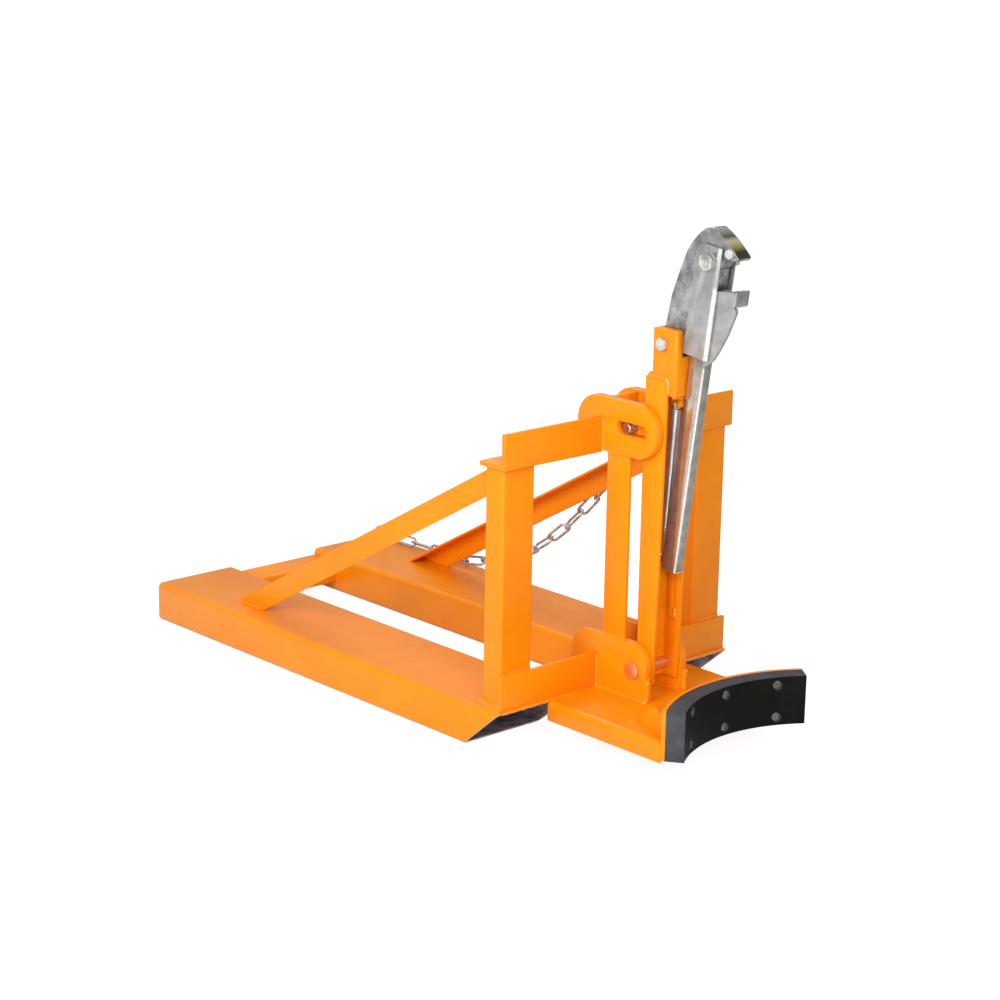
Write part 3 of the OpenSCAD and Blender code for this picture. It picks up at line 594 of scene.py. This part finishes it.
# %% [markdown]
# The lever is a bright rolled bar, so its sides mirror the orange mast, and the warm tint of
# its colour adds a painted reflection of it. Its chamfered edge gets a white painted highlight,
# and the bends of the jaw's channel get a lighter painted highlight. The front faces of the
# lever, the lip and the channel get a darker, painted shade. The direction in which a face
# looks is enough to pick it: a front face looks along negative Y, and a chamfer or a bend
# partly so.

# %% Painted highlights and painted shade on the lever and the jaw
def on_chamfer(face):
    return 0.25 < -face.normal.y < 0.9


def on_bend(face):
    return 0.15 < -face.normal.y < 0.99


def looks_forward(face):
    return face.normal.y < -0.93


rounded["lever"].data.materials[0] = LEVER
# Painted highlight goes on the chamfer and the bends, and painted shade on the front faces.
face_finish(rounded["lever"], CHAMFER_HIGHLIGHT, on_chamfer)
face_finish(rounded["jaw_channel"], BEND_HIGHLIGHT_ZINC, on_bend)
for name in ("lever", "jaw_lip", "jaw_channel"):
    face_finish(rounded[name], SHADED_FRONT_ZINC, looks_forward)

# %% [markdown]
# The stop pin's ends, which ride in the cheeks' slots, are brown. The mast's pivot pin is
# coppery, the stud in the beak's nose is as bright as wire, and the pad's bolts are dull.

# %% Finish of the pins, the stud and the pad's bolts
def at_pin_end(face):
    return abs(face.normal.x) > 0.95


rounded["nose_stud"].data.materials[0] = WIRE_STEEL
stop_pin = rounded_copy("stop_pin", 0.4 * MM)
face_finish(stop_pin, PIN_STEEL, at_pin_end)
rounded["mast_pivot_pin"].data.materials[0] = COPPER
rounded["pad_bolts"].data.materials[0] = DULL_BOLT

# %% [markdown]
# Places from here on are given as in the CAD source: in millimetres, with Y measured from
# the front face of the posts. The drum's axis stands 586 mm in front of that face, and the
# pad's hollow has a radius of 286 mm about it. The hollow gets painted shade, darker than the
# pad's top and its ends, and its faces are those that lie near that radius and look at the
# axis.

# %% Painted shade in the hollow of the pad
POST_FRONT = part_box("post_left")[0].y


def at(x, y, z):
    return Vector((x * MM, POST_FRONT + y * MM, z * MM))


DRUM_AXIS = at(0, -586, 0)
HOLLOW_REACH = 292 * MM


def looks_at_drum(face):
    inward = DRUM_AXIS - face.center
    inward.z = 0
    return inward.length < HOLLOW_REACH and face.normal.dot(inward.normalized()) > 0.7


# The hollow's faces get the painted shade.
face_finish(rounded["rubber_pad"], SHADED_HOLLOW_RUBBER, looks_at_drum)

# %% [markdown]
# The paint doesn't reach inside the pockets, where the steel keeps the grey of the mill. A
# face is inside when it lies more than 5.5 mm deep, which is just short of the wall's 6 mm,
# and looks towards the middle of the pocket.

# %% Insides of the pockets
INSIDE_DEPTH = 5.5 * MM


def looks_inside(face):
    inward = middle - face.center
    inward.y = 0
    within = abs(inward.x) < half.x - INSIDE_DEPTH and abs(inward.z) < half.z - INSIDE_DEPTH
    return within and face.normal.dot(inward) > 0


for name in ("pocket_left", "pocket_right"):
    low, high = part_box(name)
    middle = (low + high) / 2
    half = (high - low) / 2
    face_finish(rounded[name], MILL_STEEL, looks_inside)

# %% [markdown]
# The spring hangs from the tab under the head and pulls the lever up. It is a long coil
# of round wire with a loop at each end, and a straight stem that leads down to the lower
# loop. The centres of its two holes follow from the boxes of the tab and of the lever's eye,
# and so do its length and its lean.

# %% Where the spring goes
TAB_HALF = 17 * MM
TAB_BELOW = 7.5 * MM
EYE_RADIUS = 5.7 * MM
tab_low, tab_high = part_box("spring_tab")
eye_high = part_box("lever_eye")[1]
spring_top = Vector((0, tab_high.y - TAB_HALF, tab_low.z + TAB_BELOW))
eye_centre = Vector((0, eye_high.y - EYE_RADIUS, eye_high.z - EYE_RADIUS))
span = (spring_top - eye_centre).length
axis = (spring_top - eye_centre).normalized()
lean = math.atan2(-axis.y, axis.z)
print(round(span / MM), "mm between the spring's holes, lean", round(math.degrees(lean), 1))

# %% [markdown]
# The coil is one circle that a Screw modifier winds around the spring's axis. Each loop is a
# torus. A short rod across each end of the coil stands for the wire that bends inwards, and a
# longer one is the stem. All of them are made hanging from the origin.

# %% Helpers for wire
WIRE_RADIUS = 1.45 * MM


def torus(place, radius):
    bpy.ops.mesh.primitive_torus_add(
        major_radius=radius, minor_radius=WIRE_RADIUS, major_segments=40, minor_segments=12,
        location=place, rotation=(math.pi / 2, 0, 0))
    return bpy.context.object


def rod(place, length, turn=(0, 0, 0)):
    bpy.ops.mesh.primitive_cylinder_add(
        vertices=14, radius=WIRE_RADIUS, depth=length, location=place, rotation=turn)
    return bpy.context.object


def wind_coil(radius, top, pitch, turns):
    bpy.ops.mesh.primitive_circle_add(
        vertices=12, radius=WIRE_RADIUS, location=(radius, 0, top), rotation=(math.pi / 2, 0, 0))
    coil = bpy.context.object
    bpy.ops.object.transform_apply(location=True, rotation=True)
    screw = coil.modifiers.new("winding", "SCREW")
    screw.screw_offset = -pitch
    screw.iterations = turns
    screw.steps = 22
    screw.render_steps = 22
    bpy.ops.object.modifier_apply(modifier=screw.name)
    return coil


print("wire helpers ready")

# %% [markdown]
# The real spring is slightly stretched, so its turns stand a little apart: they share out the
# length that the loops and the stem leave. All the parts are joined into one mesh, because
# the spring is one piece of wire.

# %% Spring
TURNS = 53
COIL_RADIUS = 8 * MM
TOP_LOOP = 5.5 * MM
LOW_LOOP = 6 * MM
LOOP_TO_COIL = 1 * MM
STEM = 47 * MM
ACROSS = (0, math.pi / 2, 0)
coil_top = -(2 * TOP_LOOP + LOOP_TO_COIL)
stem_end = 2 * LOW_LOOP - span
coil_end = stem_end + STEM
bpy.ops.object.select_all(action="DESELECT")
parts = [
    wind_coil(COIL_RADIUS, coil_top, (coil_top - coil_end) / TURNS, TURNS),
    torus((0, 0, -TOP_LOOP), TOP_LOOP),
    torus((0, 0, LOW_LOOP - span), LOW_LOOP),
    rod((0, 0, coil_top), 2 * COIL_RADIUS, ACROSS),
    rod((0, 0, coil_end), 2 * COIL_RADIUS, ACROSS),
    rod((0, 0, (coil_end + stem_end) / 2), coil_end - stem_end),
]
bpy.ops.object.select_all(action="DESELECT")
for part in parts:
    part.select_set(True)
bpy.context.view_layer.objects.active = parts[0]
bpy.ops.object.join()
spring = bpy.context.object
print("spring of", TURNS, "turns,", len(spring.data.polygons), "faces")

# %% [markdown]
# The finished spring is turned by its lean and moved to the tab. Its place goes into the
# mesh, so that the object itself sits at the origin like every CAD node. The screw can turn
# the coil inside out, so the normals are recalculated.

# %% Hang the spring in its place
spring.matrix_world = Matrix.Translation(spring_top) @ Matrix.Rotation(lean, 4, "X")
bpy.ops.object.transform_apply(location=True, rotation=True, scale=True)
bpy.ops.object.mode_set(mode="EDIT")
bpy.ops.mesh.select_all(action="SELECT")
bpy.ops.mesh.normals_make_consistent(inside=False)
bpy.ops.object.mode_set(mode="OBJECT")
bpy.ops.object.shade_smooth_by_angle(angle=math.radians(40))
spring.data.materials.clear()
spring.data.materials.append(WIRE_STEEL)
finish_piece(spring, "spring_coil", BODY_OF["spring"], "zinc_steel", "spring")
print("spring hangs at", tuple(round(v, 4) for v in spring_top))

# %% [markdown]
# The frame is welded. A weld bead is a ridge of molten steel that froze in ripples, and
# paint rounds it further. Each bead here is a curve with a round profile, made a mesh and
# then disturbed by a cloud pattern so that no stretch of it looks machined. The pattern
# needs points to move, so every straight stretch of the curve is cut into short steps.

# %% Helper for weld beads
BEAD_STEP = 2 * MM
RIPPLE_SIZE = 6 * MM
RIPPLE_SHARE = 0.9
ripple = bpy.data.textures.new("weld_ripple", "CLOUDS")
ripple.noise_scale = RIPPLE_SIZE
ripple.noise_depth = 1


def short_steps(points):
    steps = []
    for start, end in zip(points, points[1:]):
        count = max(2, int((end - start).length / BEAD_STEP))
        steps += [start.lerp(end, i / count) for i in range(count)]
    return steps + [points[-1]]


def bead(name, points, radius, body="frame"):
    bpy.ops.object.select_all(action="DESELECT")
    bpy.ops.curve.primitive_nurbs_path_add()
    path = bpy.context.object
    path.location = (0, 0, 0)
    curve = path.data
    curve.splines.clear()
    line = curve.splines.new("POLY")
    steps = short_steps(points)
    line.points.add(len(steps) - 1)
    for point, place in zip(line.points, steps):
        point.co = (*place, 1)
    curve.bevel_depth = radius * MM
    curve.bevel_resolution = 2
    curve.use_fill_caps = True
    bpy.ops.object.convert(target="MESH")
    weld = bpy.context.object
    wobble = weld.modifiers.new("ripple", "DISPLACE")
    wobble.texture = ripple
    wobble.texture_coords = "GLOBAL"
    wobble.strength = radius * MM * RIPPLE_SHARE
    wobble.mid_level = 0.5
    bpy.ops.object.modifier_apply(modifier=wobble.name)
    bpy.ops.object.shade_smooth()
    weld.data.materials.clear()
    weld.data.materials.append(BEAD_PAINT)
    finish_piece(weld, name, body, "orange_paint")


print("bead helper ready")

# %% [markdown]
# The beads follow the seams that the photograph shows, and a seam lies where two nodes meet.
# Its sides and levels are therefore read from the nodes' boxes: how far a piece reaches
# along positive X, and how high its top stands. A mesh keeps its places to some seven
# digits, so they are rounded to a thousandth of a millimetre. How far along a seam the
# welder went is given one by one.

# %% Sides and levels of the seams
def in_mm(metres):
    return round(metres / MM, 3)


def side_of(node):
    return in_mm(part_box(node)[1].x)


def top_of(node):
    return in_mm(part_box(node)[1].z)


CHEEK = side_of("lower_cheek_right")
TIE = side_of("tie_bar_right")
POST = side_of("post_right")
ANGLE = side_of("lower_angle_right")
BRACE = side_of("brace_right")
ROOF = top_of("pocket_right")
CHEEK_TOP = top_of("lower_cheek_right")
ANGLE_TOP = top_of("lower_angle_right")
POST_TOP = top_of("post_right")
TIE_TOP = top_of("tie_bar_right")
FRAME_TOP = top_of("upper_angle_right")
CHEEK_FRONT = in_mm(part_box("lower_cheek_right")[0].y - POST_FRONT)
print("seams at levels", ROOF, ANGLE_TOP, CHEEK_TOP, POST_TOP, TIE_TOP, FRAME_TOP)

# %% [markdown]
# Each row holds the corners of one bead and its radius, for the side at positive X. The
# frame is the same on both sides, so every bead is laid twice, once mirrored.

# %% Weld beads of the frame
SIDES = (("left", -1), ("right", 1))
PAIRED_BEADS = {
    "cheek_foot": (3.8, [
        (CHEEK, 58, ROOF), (CHEEK, CHEEK_FRONT, ROOF), (CHEEK - 17, CHEEK_FRONT - 0.5, ROOF)]),
    "cheek_front": (6.2, [
        (CHEEK - 5, CHEEK_FRONT - 0.5, ROOF + 2), (CHEEK - 5, CHEEK_FRONT - 0.5, ROOF + 45)]),
    "tie_foot": (3.0, [(TIE - 0.5, -78, CHEEK_TOP), (TIE, -20, CHEEK_TOP)]),
    "tie_head": (3.0, [(TIE - 0.5, -78, TIE_TOP), (TIE, -20, TIE_TOP)]),
    "tie_front_foot": (2.6, [(TIE - 8.5, -78, CHEEK_TOP), (TIE - 0.5, -78, CHEEK_TOP)]),
    "angle_to_cheek": (3.0, [(CHEEK, -10, ROOF + 2), (CHEEK, -10, ANGLE_TOP - 3)]),
    "upper_angle_to_cheek": (3.0, [(CHEEK, -10, POST_TOP + 5), (CHEEK, -10, FRAME_TOP - 3)]),
    "upper_angle_top": (2.6, [(CHEEK, -9, FRAME_TOP), (CHEEK, -1, FRAME_TOP)]),
    "post_foot": (3.0, [(POST, 3, ROOF + 10), (POST, 48, ROOF + 10)]),
    "post_seam": (2.8, [(POST - 4, 0, ANGLE_TOP), (POST - 76, 0, ANGLE_TOP)]),
    "post_head": (2.6, [(POST - 4, 0, POST_TOP), (POST - 76, 0, POST_TOP)]),
    "post_head_side": (2.4, [(POST, 3, POST_TOP), (POST, 48, POST_TOP)]),
    "angle_on_pocket": (3.8, [(ANGLE - 2, -12, ROOF - 1), (116, -12, ROOF - 1)]),
    "angle_end": (3.0, [(ANGLE, -8, ROOF), (ANGLE, 56, ROOF)]),
    "brace_foot": (2.6, [(BRACE, 790, ROOF + 1), (BRACE, 872, ROOF + 1)]),
    "saddle_to_pocket": (2.8, [(118, -15, ROOF - 1), (184, -15, ROOF - 1)]),
}
for name, (radius, corners) in PAIRED_BEADS.items():
    for side, sign in SIDES:
        bead(f"weld_{name}_{side}", [at(sign * x, y, z) for x, y, z in corners], radius)
print("beads on the frame:", 2 * len(PAIRED_BEADS))

# %% [markdown]
# The plate behind the pad meets the saddle along an arc about the drum's axis. The arc's
# radius is the distance from that axis to the back of the plate. The two gussets behind the
# plate have a bead along their slanting foot.

# %% Weld beads of the pad's plate and its gussets
PLATE_BACK = in_mm(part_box("front_plate")[1].y - DRUM_AXIS.y)
GUSSET = side_of("saddle_gussets")


def on_plate(degrees):
    turn = math.radians(degrees)
    back = Vector((math.sin(turn), math.cos(turn), 0)) * PLATE_BACK * MM
    return DRUM_AXIS + back + Vector((0, 0, ROOF * MM))


bead("weld_plate", [on_plate(degrees) for degrees in range(-34, 35, 4)], 3.2)
for side, sign in SIDES:
    inner = at(sign * (GUSSET - 8), -191, ROOF)
    outer = at(sign * (GUSSET - 92), -222, ROOF)
    bead("weld_gusset_" + side, [inner, outer], 2.6)
print("beads on the saddle, along an arc of", PLATE_BACK, "mm")

# %% [markdown]
# The head tube is welded onto the top of the mast's walls and down along their front edges,
# and across the back. The spring's tab is welded in under the tube's front.

# %% Weld beads of the mast and its head
MAST_TOP = top_of("mast_channel")
HEAD_FOOT = in_mm(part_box("head_tube")[0].z)
for side, sign in SIDES:
    bead("weld_head_" + side, [
        at(sign * 33.4, -113, MAST_TOP + 1),
        at(sign * 33.4, -150, MAST_TOP + 1),
        at(sign * 33.0, -155, MAST_TOP - 8),
        at(sign * 32.6, -155, HEAD_FOOT + 4),
    ], 5.0, "mast")
bead("weld_head_rear", [at(-33, -108, MAST_TOP + 2), at(33, -108, MAST_TOP + 2)], 6.0, "mast")
for side, sign in SIDES:
    places = [at(sign * 3, -162, HEAD_FOOT), at(sign * 3, -132, HEAD_FOOT)]
    bead("weld_tab_" + side, places, 2.4, "mast")
places = [at(-30, -166, HEAD_FOOT - 1), at(-6, -166, HEAD_FOOT - 4)]
bead("weld_tab_front", places, 4.6, "mast")
print("beads on the mast")

# %% [markdown]
# Low inside the mast, on its far wall, a narrow slotted strip guides the lever's foot. It is
# a plate with a long hole cut through it, and a weld holds its lower end. A Boolean modifier
# cuts the hole, and the block that it cuts with is removed afterwards.

# %% Guide strip
GUIDE_SIZE = Vector((3, 24, 106))
HOLE_SIZE = Vector((10, 7, 60))
WALL = side_of("mast_liner")


def block(size, place):
    bpy.ops.mesh.primitive_cube_add(size=1, location=place)
    made = bpy.context.object
    made.scale = size * MM
    bpy.ops.object.transform_apply(location=True, rotation=True, scale=True)
    return made


middle_x = WALL - GUIDE_SIZE.x / 2
guide = block(GUIDE_SIZE, at(middle_x, -128, 285))
hole = block(HOLE_SIZE, at(middle_x, -132, 288))
cut = guide.modifiers.new("slot", "BOOLEAN")
cut.operation = "DIFFERENCE"
cut.object = hole
bpy.context.view_layer.objects.active = guide
bpy.ops.object.modifier_apply(modifier=cut.name)
bpy.data.objects.remove(hole, do_unlink=True)
round_edges(guide, 0.8 * MM)
finish_piece(guide, "guide_strip", "mast", "orange_paint")
surface_x = WALL - GUIDE_SIZE.x
bead("weld_guide", [at(surface_x, -134, 240), at(surface_x, -134, 256)], 3.4, "mast")
print("guide strip in place")
